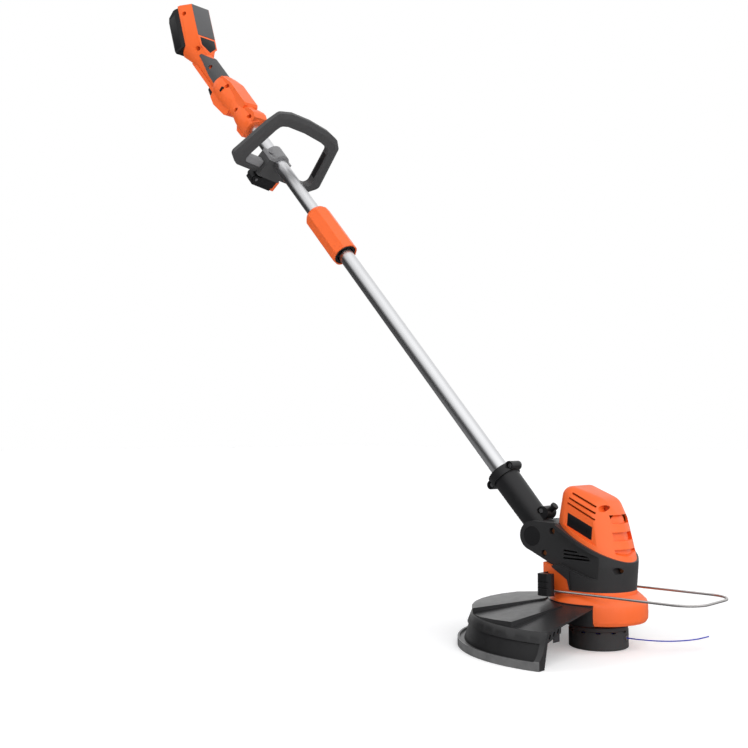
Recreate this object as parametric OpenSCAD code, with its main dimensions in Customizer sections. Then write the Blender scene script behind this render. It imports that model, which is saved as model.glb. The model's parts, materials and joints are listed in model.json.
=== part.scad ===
// Cordless string trimmer and lawn edger with a telescoping shaft and a tilting head.
// Origin: spool axis on the ground. +X forward, +Y to the operator's left, +Z up. Millimetres.

/* [Shaft] */
// Angle of the shaft above the ground
shaft_tilt = 48.1; // [44:0.1:54]
// Tilt pivot, distance behind the spool axis
pivot_back = 80; // [76:0.5:86]
// Tilt pivot, height above the ground
pivot_z = 143; // [139:0.5:148]
// Outer diameter of the lower tube
lower_tube_d = 25.4; // [24.8:0.1:27]
// Wall of the lower tube
lower_tube_wall = 0.9; // [0.7:0.05:0.95]
// Outer diameter of the upper tube
upper_tube_d = 23; // [22:0.1:23.2]
// Wall of the upper tube
upper_tube_wall = 1.2; // [0.8:0.1:2]
// Lower tube, bottom end along the shaft from the pivot
lower_tube_lo = 70; // [60:1:85]
// Lower tube, top end along the shaft from the pivot
lower_tube_hi = 640; // [610:1:655]
// Upper tube, bottom end inside the lower tube
upper_tube_lo = 430; // [300:5:500]
// How far the upper tube goes into the collar
upper_tube_in = 68; // [56:1:76]

/* [Lock sleeve] */
// Lower end of the lock sleeve along the shaft
sleeve_lo = 586; // [574:1:594]
// Length of the lock sleeve
sleeve_len = 106; // [98:1:116]
// Outer radius of the lock sleeve
sleeve_r = 22.8; // [21.5:0.1:25]
// Outer radius of the collet
collet_r = 17.4; // [16:0.1:18]
// Thickness of the sleeve's upper end
sleeve_end = 16; // [10:1:20]
// Number of grip flats round the sleeve
sleeve_flats = 8; // [6:1:12]

/* [Neck] */
// Radius of the neck barrel
neck_r = 20; // [18.5:0.1:22]
// Top of the neck along the shaft
neck_top = 113; // [105:1:122]
// Length of the flange at the top of the neck
neck_flange = 13; // [10:0.5:16]
// Distance of the ear screws from the shaft axis
ear_h = 21.5; // [20:0.5:25]
// Radius of the ears and screw bosses
ear_r = 6.5; // [5.5:0.1:8]
// Reach of the tilt button lug from the shaft axis
lug_reach = 29; // [26:0.5:34]
// Width of the tilt button lug
lug_w = 22; // [18:0.5:26]

/* [Tilt pivot] */
// Outer radius of the pivot cheeks
cheek_r = 20; // [18:0.1:22]
// Half distance between the inner faces of the cheeks
cheek_in = 21.5; // [20.5:0.1:24]
// Half width over the cheeks
cheek_out = 36; // [33:0.1:40]
// Radius of the tilt pin
tilt_pin_r = 5; // [4:0.1:6]
// Radius of the round pivot caps
pivot_cap_r = 13.5; // [10:0.1:15]

/* [Head] */
// Radius of the dark lower shell at its rim
shell_r = 53.4; // [52:0.1:54]
// How much the shell narrows toward its underside
shell_draft = 2.8; // [1:0.1:4]
// Wall of the lower shell
shell_wall = 5; // [4:0.1:6]
// Underside of the lower shell
shell_bottom = 77; // [76:0.5:79]
// Height of the split line at the front of the shell
split_front_z = 114; // [111:0.5:118]
// Height of the split line at the back of the motor cap
split_back_z = 162; // [158:0.5:165]
// Wall of the motor cap
cap_wall = 3; // [2:0.1:4]
// Top of the motor cap
cap_top = 212; // [206:0.5:220]
// Radius of the motor cap where it meets the shell
cap_r = 52.6; // [51:0.1:53]
// Height of the round lip at the foot of the motor cap
cap_lip = 6; // [4:0.5:9]
// Half width over the flat sides of the motor cap
cap_half = 42; // [40:0.5:44]
// Width of the vent slots
vent_w = 2.4; // [1.6:0.1:3]

/* [Base and guard] */
// Radius of the round base
base_r = 65; // [63:0.1:68]
// Underside of the base
base_bottom = 36; // [34:0.5:38]
// Thickness of the guard's collar round the base
guard_collar = 3.6; // [3:0.1:5]
// Outer radius of the guard rim
guard_r = 185; // [172:1:198]
// Guard centre, distance behind the spool axis
guard_back = 3; // [0:1:10]
// Front edge of the guard ahead of the spool axis
guard_front = 27; // [15:1:35]
// Angle the guard is turned toward the right of the machine
guard_turn = 14; // [0:1:20]
// Wall of the guard
guard_wall = 2.8; // [2.2:0.1:3.5]
// Height of the guard rim
guard_rim = 10.5; // [9:0.5:16]
// Height of the deck at its outer edge
deck_outer_z = 43; // [38:0.5:48]
// Height of the deck at the base
deck_inner_z = 62.5; // [60:0.5:66]
// Width of the channel between the rim and the drop wall
guard_channel = 6.2; // [4:0.2:9]
// Height of the raised pads on the deck
pad_h = 5; // [3:0.5:7]

/* [Spool] */
// Outer radius of the spool drum
spool_r = 39.2; // [36:0.1:42]
// Height of the spool
spool_h = 30; // [27:0.5:32]
// Wall of the spool drum
spool_wall = 2.4; // [1.8:0.1:3]
// Radius of the drive spindle
spindle_r = 4; // [3:0.1:5]
// Height of the line outlet
eyelet_z = 15; // [12:0.5:18]
// Diameter of the cutting line
line_d = 1.65; // [1.2:0.05:2.4]

/* [Motor] */
// Radius of the motor can
motor_r = 24; // [20:0.5:28]
// Underside of the motor can
motor_lo = 92; // [86:0.5:98]
// Length of the motor can
motor_len = 66; // [50:1:75]

/* [Wire guide] */
// Diameter of the guide wire
wire_d = 3.2; // [2.4:0.1:4]
// Half distance between the legs of the guide
wire_half = 56; // [55.5:0.1:58]
// Height of the guide wire
wire_z = 75; // [74:0.25:78]
// Front of the guide ahead of the spool axis
wire_front = 166; // [140:1:190]
// Bend radius at the front corners of the guide
wire_bend = 34; // [20:1:45]
// Guide hinge, distance behind the spool axis
wire_back = 45; // [42:0.5:48]

/* [Bail handle] */
// Middle of the bail handle along the shaft
bail_s = 845; // [825:1:860]
// Roll of the bail handle about the shaft
bail_roll = 7; // [-15:0.5:15]
// Offset of the loop to the operator's left
bail_offset = 19; // [14:0.5:24]
// Half width of the loop at its foot
bail_foot = 115; // [106:1:124]
// Half width of the loop at its top
bail_top = 84; // [76:1:92]
// Reach of the loop above the shaft axis
bail_up = 92; // [86:1:100]
// Reach of the cross bar below the shaft axis
bail_down = 36; // [34:0.5:40]
// Width of the bar at the sides and top
bail_bar = 23; // [20:0.5:26]
// Width of the cross bar
bail_cross = 12; // [10:0.5:16]
// Thickness of the bar
bail_thick = 16; // [13:0.5:20]
// Length of the clamp along the shaft
clamp_len = 29; // [24:0.5:34]
// Outer radius of the clamp cap
clamp_r = 18; // [16.5:0.1:20]

/* [Rear handle] */
// Front end of the collar along the shaft
collar_lo = 932; // [925:1:945]
// Rear end of the collar along the shaft
collar_hi = 1074; // [1068:1:1080]
// Radius of the collar at its widest
collar_r = 23; // [21:0.1:25]
// Radius of the collar at its waist
waist_r = 19.5; // [18:0.1:21]
// Radius of the grip core
grip_core_r = 14.5; // [13:0.1:15.5]
// Thickness of the soft grip pad
grip_pad_t = 2.8; // [2:0.1:3.5]
// Flat depth added to the round grip
grip_flat = 5; // [3:0.5:8]
// Length of the grip pad
grip_len = 94; // [86:1:98]
// Angle of the battery housing to the shaft
housing_tilt = 24; // [20:0.5:28]
// Length of the battery housing above the grip
housing_len = 119; // [112:1:125]
// Half width of the housing at the battery
housing_half = 31; // [29:0.5:34]
// Half width of the housing at the panel
housing_top_half = 21; // [19:0.5:24]
// Reach of the housing to the panel face
housing_up = 16; // [15:0.5:20]
// Reach of the housing to the battery face
housing_down = 13.5; // [12:0.5:15]

/* [Battery] */
// Length of the battery pack
pack_len = 88; // [82:1:92]
// Half width of the battery pack
pack_half = 31.5; // [30:0.5:34]
// Thickness of the battery pack below its rails
pack_t = 38.5; // [36:0.5:44]
// Height of the slide rail
rail_h = 9; // [8:0.5:10]
// Half width of the rail's neck
rail_half = 17; // [14:0.5:19]
// Width of the rail's lip
rail_lip = 3; // [2:0.5:4]
// Radius of a cell
cell_r = 8.4; // [7.5:0.1:8.6]

/* [Fits] */
// Radial clearance of a turning or sliding fit
run_fit = 0.05; // [0.02:0.01:0.09]
// Clearance between pieces that move past each other
gap = 0.4; // [0.3:0.05:0.6]
// Radius of the housing screws
screw_r = 1.6; // [1.3:0.1:2]

/* [Hidden] */
$fn = 64;
big = 400;
hair = 0.02;
orange = "orangered";
dark = "dimgray";
black = "#1c1c1e";
pale = "darkgray";
steel = "silver";

lower_r = lower_tube_d / 2;
upper_r = upper_tube_d / 2;
sleeve_hi = sleeve_lo + sleeve_len;
collet_lo = sleeve_lo + 10;
collet_hi = sleeve_hi - sleeve_end - gap;
screw_head_r = 2 * screw_r;
well_r = screw_head_r + 1.2;
guard_collar_in = base_r - guard_collar;
plateau_r = wire_half - wire_d / 2 - 3.4;
upstand_half = plateau_r + 0.9;
upstand_front = -12;
upstand_back = -58;
housing_s = collar_hi + 76;
pack_lo = 36;
pack_hi = pack_lo + pack_len;
pack_top = -housing_down - gap;
pad_r = grip_core_r + grip_pad_t;
pad_hi = collar_hi + grip_len;
trigger_pin_s = collar_hi - 39;
trigger_pin_h = -9;
trigger_half = 5;
button_s = collar_hi - 32;
lug_s = 22;
lever_y = -20;
lever_h = -bail_down - 10;
motor_hi = motor_lo + motor_len;
shaft_up = [-cos(shaft_tilt), 0, sin(shaft_tilt)];

// Points along the cutting line, from the outlet to its free end
outlet_angle = 5;
outlet = [cos(outlet_angle), sin(outlet_angle), 0];
line_from = (spool_r - 1.8) * outlet + [0, 0, eyelet_z];
line_out = (spool_r + 2.2) * outlet + [0, 0, eyelet_z];
line_knots = [line_from, line_out, line_out + [11, 3.4, -0.6], line_out + [27, 13, -1.6],
              line_out + [43, 25, -2], line_out + [58, 39, -1.4], line_out + [70, 54, 0],
                  line_out + [79, 70, 2.4]];

// A smooth curve through the knots, straight where the line passes the outlet
function knot(i) = line_knots[max(0, min(len(line_knots) - 1, i))];
function bend(a, b, c, d, t) =
  b + t / 2 * (c - a + t * (2 * a - 5 * b + 4 * c - d + t * (3 * b - a - 3 * c + d)));
function along(i, t) = bend(knot(i - 1), knot(i), knot(i + 1), knot(i + 2), t);
line_points = [for (i = [0:len(line_knots) - 2]) for (k = [0:(i == 0 ? 0 : 4)])
    along(i, k / 5), knot(len(line_knots))];

// Frame along the shaft: local Z runs up the shaft from the pivot, local X is the upper side
module shaft_frame(s = 0) {
  translate([-pivot_back, 0, pivot_z]) rotate([0, shaft_tilt - 90, 0]) translate([0, 0, s]) children();
}

// Frame of the battery housing: local Z runs along the pack, local X points to the panel
module battery_frame() {
  shaft_frame(housing_s) rotate([0, housing_tilt, 0]) children();
}

// Frame of the bail handle, rolled about the shaft
module bail_frame() {
  shaft_frame(bail_s) rotate([0, 0, bail_roll]) children();
}

// A side view outline given width along Y
module side(w) {
  rotate([90, 0, 0]) linear_extrude(w, center = true) children();
}

// One half of a split moulding, side 1 to the left and -1 to the right
module half(hand) {
  intersection() {
    children();
    translate([-3 * big, hand > 0 ? 0 : -big, -big]) cube([6 * big, big, 6 * big]);
  }
}

// A hollow round bar from z lo to z hi
module pipe(r, inner, lo, hi) {
  translate([0, 0, lo]) difference() {
    cylinder(r = r, h = hi - lo);
    translate([0, 0, -1]) cylinder(r = inner, h = hi - lo + 2);
  }
}

// A round bar along Y at a place in the side view
module cross_bar(x, z, r, from, to) {
  translate([x, from, z]) rotate([-90, 0, 0]) cylinder(r = r, h = to - from);
}

// A round with flat sides, longer along X
module stadium(r, flat) {
  translate([flat / 2, 0]) circle(r);
  translate([-flat / 2, 0]) circle(r);
  square([flat, 2 * r], center = true);
}

// A housing screw with its head at the right and its point at the left
module screw(x, z, head_y, point_y) {
  cross_bar(x, z, screw_r, head_y, point_y);
  cross_bar(x, z, screw_head_r, head_y - 2, head_y);
}

// The hole for a housing screw, open to the right
module screw_hole(x, z, head_y, point_y) {
  cross_bar(x, z, screw_r + hair, head_y - 1, point_y + 0.5);
  cross_bar(x, z, well_r, -big / 4, head_y);
}

// Upper tube
module upper_tube() {
  color(steel) shaft_frame() difference() {
    pipe(upper_r, upper_r - upper_tube_wall, upper_tube_lo, collar_lo + upper_tube_in);
    cross_bar(housing_screw_places[1][0], housing_screw_places[1][1], screw_r + hair, -big, big);
  }
}

// Rear handle housing
collar_outline = [[0, collar_lo], [waist_r - 1, collar_lo], [collar_r - 1, collar_lo + 8],
                  [collar_r, collar_lo + 22], [collar_r - 1, collar_lo + 40], [waist_r, collar_lo + 54],
                      [waist_r, collar_lo + 68],
                  [collar_r - 0.5, collar_lo + 82], [collar_r + 0.5, collar_lo + 110],
                      [collar_r, collar_hi - 10],
                  [waist_r, collar_hi], [0, collar_hi]];
housing_screw_places = [[16, collar_lo + 14, -9], [3.3, collar_lo + 50, -15], [16, collar_hi - 34, -10],
                        [9.5, collar_hi + 38, -9]];
battery_screw_places = [[-1.5, 101, -23], [7, 20, -16]];

module collar_pad() {
  color(dark) shaft_frame() difference() {
    side(2 * collar_r - 26) polygon([[-12, collar_lo + 4], [-collar_r - 3, collar_lo + 10],
                                     [-collar_r - 4, collar_lo + 30], [-12, collar_lo + 46]]);
    rotate_extrude() polygon([for (p = collar_outline) [p[0] + hair, p[1]]]);
  }
}

module housing_box_2d() {
  polygon([[-housing_down, -housing_half], [-housing_down + 8, -housing_half],
           [housing_up, -housing_top_half], [housing_up, housing_top_half],
               [-housing_down + 8, housing_half], [-housing_down, housing_half]]);
}

// Upper slab, front hump and lower bulge of the collar, as side views
collar_slab = [[0, collar_lo + 38], [21.5, collar_lo + 42], [25.5, collar_lo + 46], [26, collar_hi - 34],
               [19, collar_hi - 4], [0, collar_hi]];
collar_hump = [[0, collar_lo + 2], [24, collar_lo + 2], [27.5, collar_lo + 12], [27, collar_lo + 20],
               [21, collar_lo + 38], [0, collar_lo + 40]];
collar_bulge = [[0, collar_lo + 70], [-22, collar_lo + 70], [-26, collar_lo + 75], [-31.5, collar_hi - 26],
                [-27, collar_hi - 7], [0, collar_hi - 4]];

module housing_form() {
  shaft_frame() {
    rotate_extrude() polygon(collar_outline);
    side(2 * collar_r - 12) polygon(collar_bulge);
    side(2 * collar_r - 14) polygon(collar_slab);
    side(2 * collar_r - 16) polygon(collar_hump);
    translate([0, 0, collar_hi - 8]) linear_extrude(grip_len + 8) stadium(grip_core_r, grip_flat);
    translate([-grip_core_r - grip_flat / 2 - 0.5, 0, collar_hi + grip_len / 2])
      cube([8, 2 * grip_core_r - 8, grip_len + 4], center = true);
  }
  battery_frame() difference() {
    translate([0, 0, pack_lo - 2]) linear_extrude(housing_len - pack_lo + 8) housing_box_2d();
    side(big) polygon([[-housing_down - 1, housing_len + 5.5], [housing_up + 1, housing_len - 4.5],
                       [housing_up + 1, housing_len + 20], [-housing_down - 1, housing_len + 20]]);
  }
  hull() {
    battery_frame() {
      translate([0, 0, pack_lo - 2]) linear_extrude(6) housing_box_2d();
      translate([-housing_down - 19, 8 - housing_half, pack_lo - 12]) cube([12, 2 * housing_half - 16, 11]);
      translate([housing_up - 4, -10, 8]) cube([4, 20, 2]);
    }
    shaft_frame(collar_hi + 74) linear_extrude(2) stadium(grip_core_r - 1, grip_flat, $fn = 24);
  }
}

module pack_rail_2d(extra) {
  offset(delta = extra) polygon([[pack_top - 2, -rail_half], [pack_top + rail_h - 4, -rail_half],
    [pack_top + rail_h - 4, -rail_half - rail_lip], [pack_top + rail_h, -rail_half - rail_lip],
    [pack_top + rail_h, rail_half + rail_lip], [pack_top + rail_h - 4, rail_half + rail_lip],
    [pack_top + rail_h - 4, rail_half], [pack_top - 2, rail_half]]);
}

module trigger_pocket() {
  shaft_frame() side(2 * (trigger_half + gap))
    polygon([[-big / 4, collar_hi - 4], [trigger_pin_h - 7, trigger_pin_s - 14],
             [trigger_pin_h + 9, trigger_pin_s - 12], [trigger_pin_h + 9, collar_hi + 12],
                 [trigger_pin_h + 1, collar_hi + 30], [-big / 4, collar_hi + 30]]);
}

module housing_shell() {
  difference() {
    housing_form();
    shaft_frame() translate([0, 0, collar_lo - 1]) cylinder(r = upper_r + hair, h = upper_tube_in + 1);
    grip_space();
    trigger_pocket();
    shaft_frame() cross_bar(trigger_pin_h, trigger_pin_s, 2 + hair, -collar_r + 6, collar_r - 6);
    shaft_frame() translate([6, 0, button_s]) cube([10 + 2 * run_fit, big, 4 + 2 * run_fit], center = true);
    switch_space(hair);
    battery_frame() {
      translate([0, 0, pack_lo - gap]) linear_extrude(big) pack_rail_2d(gap);
      panel_space(hair);
      board_space(hair);
      terminal_space(hair);
      translate([-big, -big / 2, pack_lo - gap]) cube([big - housing_down, big, big]);
      for (p = battery_screw_places) screw_hole(p[0], p[1], p[2], 9);
    }
    shaft_frame() for (p = housing_screw_places) screw_hole(p[0], p[1], p[2], 9);
  }
}

module housing_left() { color(orange) half(1) housing_shell(); }
module housing_right() { color(orange) half(-1) housing_shell(); }

module housing_screws() {
  color(steel) {
    shaft_frame() for (p = housing_screw_places) screw(p[0], p[1], p[2], 9);
    battery_frame() for (p = battery_screw_places) screw(p[0], p[1], p[2], 9);
  }
}

// Panel over the control board
panel_lo = 45;
panel_len = housing_len - panel_lo - 11;
panel_t = 2.4;
panel_half = housing_top_half - 1.5;

module panel_space(extra) {
  translate([housing_up - panel_t - extra, -panel_half - extra, panel_lo - extra])
    cube([panel_t + 10, 2 * (panel_half + extra), panel_len + 2 * extra]);
}

module top_panel() {
  color(dark) battery_frame() intersection() {
    panel_space(0);
    translate([0, 0, panel_lo]) linear_extrude(panel_len) housing_box_2d();
  }
}

module board_space(extra) {
  translate([housing_up - panel_t - 4 - extra, -13 - extra, panel_lo + 8 - extra])
    cube([4 + 2 * extra, 26 + 2 * extra, panel_len - 16 + 2 * extra]);
}

module control_board() {
  color("darkgreen") battery_frame() board_space(0);
}

// Grip pad round the grip core, open along the underside
module grip_form() {
  shaft_frame() difference() {
    translate([0, 0, collar_hi]) linear_extrude(grip_len) stadium(pad_r, grip_flat);
    side(big) polygon([[-big, collar_hi - 1], [-4, collar_hi - 1], [-3, collar_hi + 26],
                       [4.5, collar_hi + 66], [7, pad_hi - 2], [20, collar_hi + 54],
                           [big / 4, collar_hi + 44], [big / 4, pad_hi + 1],
                       [-big, pad_hi + 1]]);
  }
}

module grip_space() {
  difference() {
    grip_form();
    shaft_frame() translate([0, 0, collar_hi - 1]) linear_extrude(grip_len + 2)
        stadium(grip_core_r + hair, grip_flat);
  }
}

module grip_pad() {
  color(dark) difference() {
    grip_space();
    shaft_frame() screw_hole(housing_screw_places[3][0], housing_screw_places[3][1],
        housing_screw_places[3][2], 9);
  }
}

// Switch, terminals and trigger
module switch_space(extra) {
  shaft_frame() translate([trigger_pin_h + 9 - extra, -6 - extra, button_s + 5 - extra])
    cube([11 + 2 * extra, 12 + 2 * extra, 22 + 2 * extra]);
}

module power_switch() { color(black) switch_space(0); }

module terminal_space(extra) {
  translate([pack_top + 2 - extra, -rail_half + 2 - extra, pack_lo - gap - 9 - extra])
    cube([rail_h - 4 + 2 * extra, 2 * (rail_half - 2 + extra), 9 + 2 * extra]);
}

module terminal_blades(extra) {
  for (y = [-11, -4, 4, 11])
    translate([pack_top + 3 - extra, y - 0.5 - extra, pack_lo - 1])
        cube([rail_h - 6 + 2 * extra, 1 + 2 * extra, 12 + extra]);
}

module terminal_block() {
  color(black) battery_frame() {
    terminal_space(0);
    terminal_blades(0);
  }
}

module trigger_pin() {
  color(steel) shaft_frame() cross_bar(trigger_pin_h, trigger_pin_s, 2, -collar_r + 6, collar_r - 6);
}

module trigger() {
  color(black) shaft_frame() difference() {
    union() {
      cross_bar(trigger_pin_h, trigger_pin_s, 5, -trigger_half, trigger_half);
      side(2 * trigger_half) polygon([[trigger_pin_h + 3, trigger_pin_s - 2],
               [trigger_pin_h - 3, trigger_pin_s - 2], [trigger_pin_h - 9, collar_hi + 1],
                   [trigger_pin_h - 22, collar_hi + 1],
               [trigger_pin_h - 24, collar_hi + 10], [trigger_pin_h - 20, collar_hi + 23],
               [trigger_pin_h - 6, collar_hi + 25], [trigger_pin_h, collar_hi + 8]]);
    }
    cross_bar(trigger_pin_h, trigger_pin_s, 2 + run_fit, -collar_r, collar_r);
  }
}

// Lock-off cross button, pressed from either side
button_half = collar_r + 2;
module lock_button() {
  color(black) shaft_frame() translate([6, 0, button_s])
    cube([10, 2 * button_half, 4], center = true);
}

// Battery pack
module pack_outline() {
  polygon([[pack_top, pack_lo + 2], [pack_top, pack_hi - 1], [pack_top - 14, pack_hi],
           [pack_top - pack_t, pack_hi - 11], [pack_top - pack_t, pack_lo + 11],
               [pack_top - pack_t + 8, pack_lo],
           [pack_top - 6, pack_lo]]);
}

module pack_form(inset) {
  intersection() {
    side(2 * (pack_half - inset)) offset(delta = -inset) pack_outline();
    translate([0, 0, pack_lo]) linear_extrude(pack_len) offset(delta = -inset)
      polygon([[pack_top + 1, -pack_half + 4], [pack_top - 9, -pack_half],
               [pack_top - pack_t + 9, -pack_half], [pack_top - pack_t - 1, -pack_half + 6],
                   [pack_top - pack_t - 1, pack_half - 6],
               [pack_top - pack_t + 9, pack_half], [pack_top - 9, pack_half],
                   [pack_top + 1, pack_half - 4]]);
  }
}

cell_len = pack_len - 22;
cell_layer = 2 * cell_r + 0.2;
module pack_cavity(extra) {
  for (row = [0, 1]) for (col = [-1:1])
    translate([pack_top - pack_t + 3.5 + cell_r + row * cell_layer, col * cell_layer, pack_lo + 8 - extra])
      cylinder(r = cell_r + extra, h = cell_len + 2 * extra);
}

latch_half = 11;
latch_len = 10;
latch_h = 18;
module latch_space(extra) {
  translate([pack_top - latch_h - extra, -latch_half - extra, pack_hi - latch_len - extra])
    cube([latch_h + extra, 2 * (latch_half + extra), latch_len + 10]);
}

module battery_case() {
  color(black) battery_frame() difference() {
    pack_form(0);
    pack_cavity(hair);
    translate([-4 - gap, 0, 0]) latch_space(gap);
    latch_space(gap);
  }
}

module battery_rail() {
  color(black) battery_frame() difference() {
    translate([0, 0, pack_lo]) linear_extrude(pack_len - latch_len - 4) pack_rail_2d(0);
    translate([pack_top - 10, -big / 2, 0]) cube([10, big, big]);
    terminal_blades(gap);
  }
}

module battery_cells() { color("steelblue") battery_frame() pack_cavity(0); }

module battery_latch() {
  color(black) battery_frame() intersection() {
    latch_space(0);
    pack_form(0);
  }
}

// Bail handle: a loop clamped under the tube, its arch higher in the middle
module bail_outline(inset, drop = 0) {
  foot = -bail_down - drop;
  offset(r = 10) offset(delta = -10 - inset)
    polygon([[foot, bail_offset - bail_foot + 22], [foot + 16, bail_offset - bail_foot],
             [bail_up - 32, bail_offset - bail_top - 8], [bail_up - 10, bail_offset - bail_top + 2],
             [bail_up - 2, bail_offset - bail_top + 28], [bail_up, bail_offset - 10],
                 [bail_up - 3, bail_offset + 40],
             [bail_up - 10, bail_offset + bail_top - 12], [bail_up - 24, bail_offset + bail_top + 6],
             [foot + 16, bail_offset + bail_foot], [foot, bail_offset + bail_foot - 18]]);
}

// The open window of the loop, with more or less of the bar taken off it
module bail_window(more) {
  bail_outline(bail_bar - more, bail_bar - bail_cross);
}

bail_grip_t = 3;
module bail_grip_space(extra) {
  intersection() {
    translate([0, 0, -bail_thick / 2 + 3 - extra]) linear_extrude(bail_thick - 6 + 2 * extra) difference() {
      bail_window(bail_grip_t + extra);
      bail_window(0);
    }
    translate([-4 - extra, bail_offset + 30, -big]) cube([52 + 2 * extra, big, 2 * big]);
  }
}

module bail_handle() {
  color(dark) bail_frame() difference() {
    union() {
      difference() {
        hull() {
          linear_extrude(bail_thick - 9, center = true) bail_outline(0);
          linear_extrude(bail_thick, center = true) bail_outline(8);
        }
        translate([0, 0, -big]) linear_extrude(2 * big) bail_window(0);
      }
      translate([-bail_down, -clamp_r - 8, -clamp_len / 2])
          cube([bail_down - gap, 2 * clamp_r + 16, clamp_len]);
    }
    translate([0, 0, -big / 2]) cylinder(r = upper_r + run_fit, h = big);
    bail_grip_space(hair);
    clamp_bolt_holes();
  }
}

module bail_grip() { color(black) bail_frame() bail_grip_space(0); }

module clamp_cap() {
  color(pale) bail_frame() difference() {
    union() {
      intersection() {
        translate([0, 0, -clamp_len / 2]) cylinder(r = clamp_r, h = clamp_len);
        translate([0, -big / 2, -big / 2]) cube([big, big, big]);
      }
      translate([0, -clamp_r - 8, -clamp_len / 2]) cube([6, 2 * clamp_r + 16, clamp_len]);
    }
    translate([0, 0, -big / 2]) cylinder(r = upper_r + run_fit, h = big);
    clamp_bolt_holes();
  }
}

clamp_bolt_y = clamp_r + 3;
clamp_block_h = 16;
block_from = lever_y + 9;
block_to = 26;
module clamp_bolt_holes() {
  for (hand = [-1, 1]) translate([-bail_down - 1, hand * clamp_bolt_y, 0]) rotate([0, 90, 0])
    cylinder(r = 2 + hair, h = bail_down + 10);
}

module clamp_bolts() {
  color(steel) bail_frame() for (hand = [-1, 1]) translate([-bail_down, hand * clamp_bolt_y, 0])
      rotate([0, 90, 0]) {
    cylinder(r = 2, h = bail_down + 8);
    translate([0, 0, bail_down + 6]) cylinder(r = 3.6, h = 2.6);
  }
}

module clamp_block() {
  color(black) bail_frame() difference() {
    union() {
      translate([-bail_down - clamp_block_h, block_from, -clamp_len / 2 + 3])
        cube([clamp_block_h, block_to - block_from, clamp_len - 6]);
      for (z = [-clamp_len / 2 + 3, clamp_len / 2 - 6]) translate([0, 0, z]) linear_extrude(3) {
        translate([lever_h, lever_y]) circle(6.5);
        translate([lever_h - 6, lever_y]) square([12, block_from - lever_y + 1]);
      }
    }
    translate([lever_h, lever_y, -big / 2]) cylinder(r = 3 + hair, h = big);
  }
}

module lever_pin() {
  color(steel) bail_frame() translate([lever_h, lever_y, -clamp_len / 2 + 2])
      cylinder(r = 3, h = clamp_len - 4);
}

// Clamp lever, hinged between the ears of the block and folded under it
lever_w = clamp_len - 12 - 2 * gap;
lever_reach = block_to - lever_y + 1.2;
module clamp_lever() {
  color(black) bail_frame() translate([lever_h, lever_y, -lever_w / 2]) difference() {
    union() {
      cylinder(r = 8, h = lever_w);
      linear_extrude(lever_w) polygon([[-1, -6.5], [-9, -6.5], [-13.5, 2], [-14, lever_reach],
                                       [-6.6, lever_reach], [-6.6, 8.5], [-4, 5]]);
    }
    translate([0, 0, -1]) cylinder(r = 3 + run_fit, h = lever_w + 2);
  }
}

module lever_tip() {
  color(orange) bail_frame() translate([lever_h - 13, lever_y + lever_reach, -lever_w / 2 + 1])
    cube([22, 10, lever_w - 2]);
}

// Collet on the lower tube, slit where it grips the upper tube
module collet() {
  color(black) shaft_frame() difference() {
    rotate_extrude() polygon([[lower_r + run_fit, collet_lo], [collet_r, collet_lo],
                              [collet_r, collet_hi - 14], [collet_r - 3, collet_hi],
                                  [upper_r + run_fit, collet_hi],
                              [upper_r + run_fit, lower_tube_hi + gap], [lower_r + run_fit,
                                  lower_tube_hi + gap]]);
    for (a = [0, 90]) rotate([0, 0, a]) translate([-big / 2, -1, lower_tube_hi + 14]) cube([big, 2, big]);
  }
}

module lock_sleeve() {
  color(orange) shaft_frame() difference() {
    rotate_extrude() polygon([[collet_r + gap + 1.6, sleeve_lo], [sleeve_r - 1, sleeve_lo],
                              [sleeve_r, sleeve_lo + 2], [sleeve_r, sleeve_hi - 9],
                                  [sleeve_r - 4, sleeve_hi - 1.5], [sleeve_r - 5.5, sleeve_hi],
                              [upper_r + gap, sleeve_hi], [upper_r + gap, sleeve_hi - sleeve_end],
                              [collet_r + gap, sleeve_hi - sleeve_end], [collet_r + gap, collet_lo],
                              [collet_r + gap + 1.6, collet_lo - 2]]);
    for (i = [0:sleeve_flats - 1]) rotate([0, 0, (i + 0.5) * 360 / sleeve_flats])
      translate([sleeve_r * cos(172 / sleeve_flats), -big / 2, sleeve_lo - 1])
          cube([big, big, sleeve_len + 2]);
  }
}

// Lower tube and neck
module lower_tube() {
  color(steel) shaft_frame() pipe(lower_r, lower_r - lower_tube_wall, lower_tube_lo, lower_tube_hi);
}

neck_screw_places = [[ear_h, neck_top - neck_flange / 2], [-ear_h, neck_top - neck_flange / 2],
                     [lug_reach - 10, lug_s + 4]];
module neck_form() {
  cylinder(r1 = neck_r - 1.5, r2 = neck_r, h = neck_top);
  translate([0, 0, neck_top - neck_flange]) cylinder(r = neck_r + 2.5, h = neck_flange);
  side(2 * (ear_r + 5)) {
    for (hand = [-1, 1]) translate([hand * ear_h, neck_top - neck_flange / 2]) circle(ear_r);
    translate([0, neck_top - neck_flange / 2]) square([2 * ear_h, 2 * ear_r], center = true);
  }
  side(2 * (cheek_in - gap)) circle(cheek_r - 1);
  side(lug_w) {
    translate([lug_reach - 9, lug_s]) circle(9);
    translate([(lug_reach - 9) / 2, lug_s]) square([lug_reach - 9, 18], center = true);
  }
}

module neck_shell() {
  shaft_frame() difference() {
    neck_form();
    translate([0, 0, lower_tube_lo]) cylinder(r = lower_r + hair, h = big);
    translate([0, 0, 26]) cylinder(r = lower_r - 4, h = big);
    cross_bar(0, 0, tilt_pin_r + run_fit, -big, big);
    translate([lug_reach - 9.5, 0, lug_s - 2]) rotate([0, 90, 0]) cylinder(r = 4 + run_fit, h = 20);
    for (p = neck_screw_places) screw_hole(p[0], p[1], -7, 8);
  }
}

module neck_left() { color(dark) half(1) neck_shell(); }
module neck_right() { color(dark) half(-1) neck_shell(); }
module neck_screws() { color(steel) shaft_frame() for (p = neck_screw_places) screw(p[0], p[1], -7, 8); }

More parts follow.
